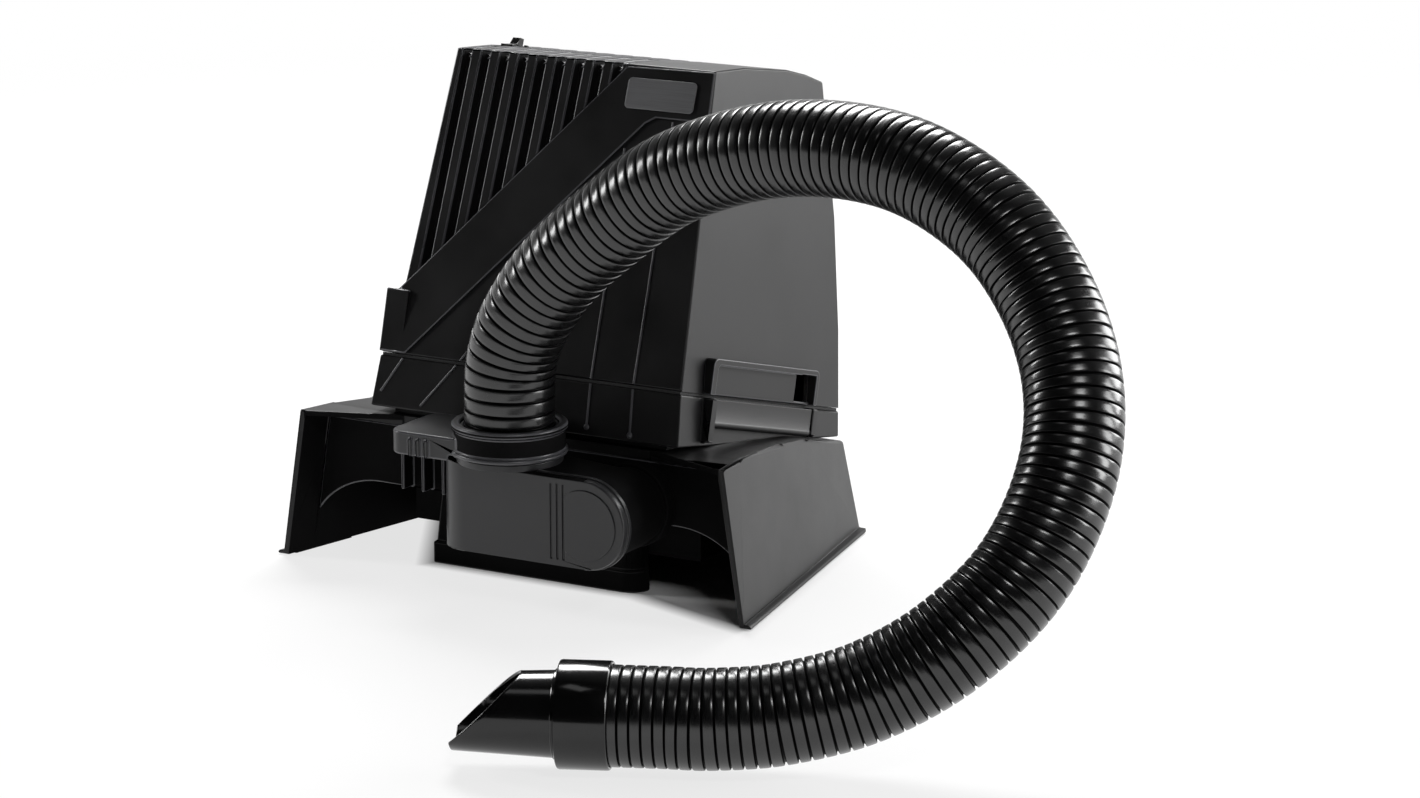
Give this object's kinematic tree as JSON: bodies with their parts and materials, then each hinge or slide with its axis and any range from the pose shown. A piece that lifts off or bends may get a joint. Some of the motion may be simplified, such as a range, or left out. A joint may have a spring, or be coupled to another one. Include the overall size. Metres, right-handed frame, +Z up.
{
  "type": "solder fume extractor",
  "caption": "Bench fume extractor: a leaning fan and filter unit on a flared stand, with a swivel elbow, a ribbed hose and a scoop nozzle.",
  "frame": {"origin": "on the bench, under the middle of the box around the object without its hose and nozzle", "axes": "+Z up, front of the object towards -Y, its right side towards +X as seen from the front"},
  "size_m": [0.6525, 0.574, 0.3451],
  "materials": {
    "body_plastic": "fine-textured black",
    "elbow_plastic": "satin dark grey",
    "hose_plastic": "glossy black",
    "badge_plastic": "bare dark grey plate",
    "foot_rubber": "black rubber",
    "gasket_foam": "soft black seal",
    "steel": "plain steel",
    "zinc_sheet": "plain grey sheet",
    "motor_metal": "dark painted can",
    "filter_pad": "loose grey fibre",
    "filter_card": "card frame",
    "filter_sheet": "white pleated sheet",
    "carbon": "granular black",
    "board": "green board"
  },
  "bodies": {
    "base": {"stand_shell": "body_plastic", "stand_wall": "body_plastic", "front_tray": "body_plastic", "rubber_feet": "foot_rubber", "stand_screws": "steel", "intake_plenum": "body_plastic", "inlet_spigot": "body_plastic", "spigot_flange": "body_plastic", "spigot_ring": "steel", "lower_housing": "body_plastic", "parting_gasket": "gasket_foam", "prefilter_pad": "filter_pad", "filter_frame": "filter_card", "filter_media": "filter_sheet", "carbon_bed": "carbon", "left_latch_pin": "steel", "right_latch_pin": "steel", "hose": "hose_plastic", "nozzle_cuff": "hose_plastic"},
    "upper_unit": {"upper_housing": "body_plastic", "front_fins": "body_plastic", "front_band": "body_plastic", "badge_plate": "badge_plastic", "left_grip": "body_plastic", "right_grip": "body_plastic", "fan_deck": "zinc_sheet", "fan_scroll": "body_plastic", "motor_plate": "zinc_sheet", "motor": "motor_metal", "control_board": "board", "rear_panel": "body_plastic", "exhaust_grille": "body_plastic", "power_inlet": "body_plastic", "switch_bezel": "body_plastic"},
    "rotor": {"motor_shaft": "steel", "impeller": "body_plastic"},
    "rocker": {"power_switch": "body_plastic"},
    "left_latch_plate": {"left_latch": "body_plastic"},
    "right_latch_plate": {"right_latch": "body_plastic"},
    "elbow": {"elbow_duct": "elbow_plastic", "elbow_cap": "elbow_plastic", "hose_neck": "elbow_plastic"},
    "collar": {"hose_collar": "elbow_plastic"},
    "scoop": {"nozzle": "hose_plastic"}
  },
  "joints": [
    {"name": "unit_lift", "type": "slide", "parent": "base", "child": "upper_unit", "axis": [0, 0.2538, 0.9673], "range_m": [0, 0.12]},
    {"name": "fan_spin", "type": "hinge", "parent": "upper_unit", "child": "rotor", "pos_m": [0, 0.06752, 0.23625], "axis": [0, 0.2538, 0.9673], "continuous": true},
    {"name": "rocker_tilt", "type": "hinge", "parent": "upper_unit", "child": "rocker", "pos_m": [-0.085, 0.05249, 0.32083], "axis": [1, 0, 0], "range_deg": [-22, 0]},
    {"name": "left_latch_swing", "type": "hinge", "parent": "base", "child": "left_latch_plate", "pos_m": [-0.11724, 0.02345, 0.09583], "axis": [0, -0.9673, 0.2538], "range_deg": [0, 30], "stiffness_Nm_per_rad": 0.1, "springref_deg": -11.46},
    {"name": "right_latch_swing", "type": "hinge", "parent": "base", "child": "right_latch_plate", "pos_m": [0.11724, 0.02345, 0.09583], "axis": [0, 0.9673, -0.2538], "range_deg": [0, 30], "stiffness_Nm_per_rad": 0.1, "springref_deg": -11.46},
    {"name": "elbow_swivel", "type": "hinge", "parent": "base", "child": "elbow", "pos_m": [0.084, -0.095, 0.0645], "axis": [0, 1, 0], "range_deg": [-14, 45], "deforming": ["hose"]},
    {"name": "collar_turn", "type": "hinge", "parent": "elbow", "child": "collar", "pos_m": [0.016, -0.115, 0.108], "axis": [0, 0, 1], "range_deg": [0, 60]},
    {"name": "nozzle_turn", "type": "hinge", "parent": "base", "child": "scoop", "pos_m": [0.226, -0.378, 0.032], "axis": [-0.9135, -0.4067, 0], "range_deg": [-120, 120]}
  ]
}
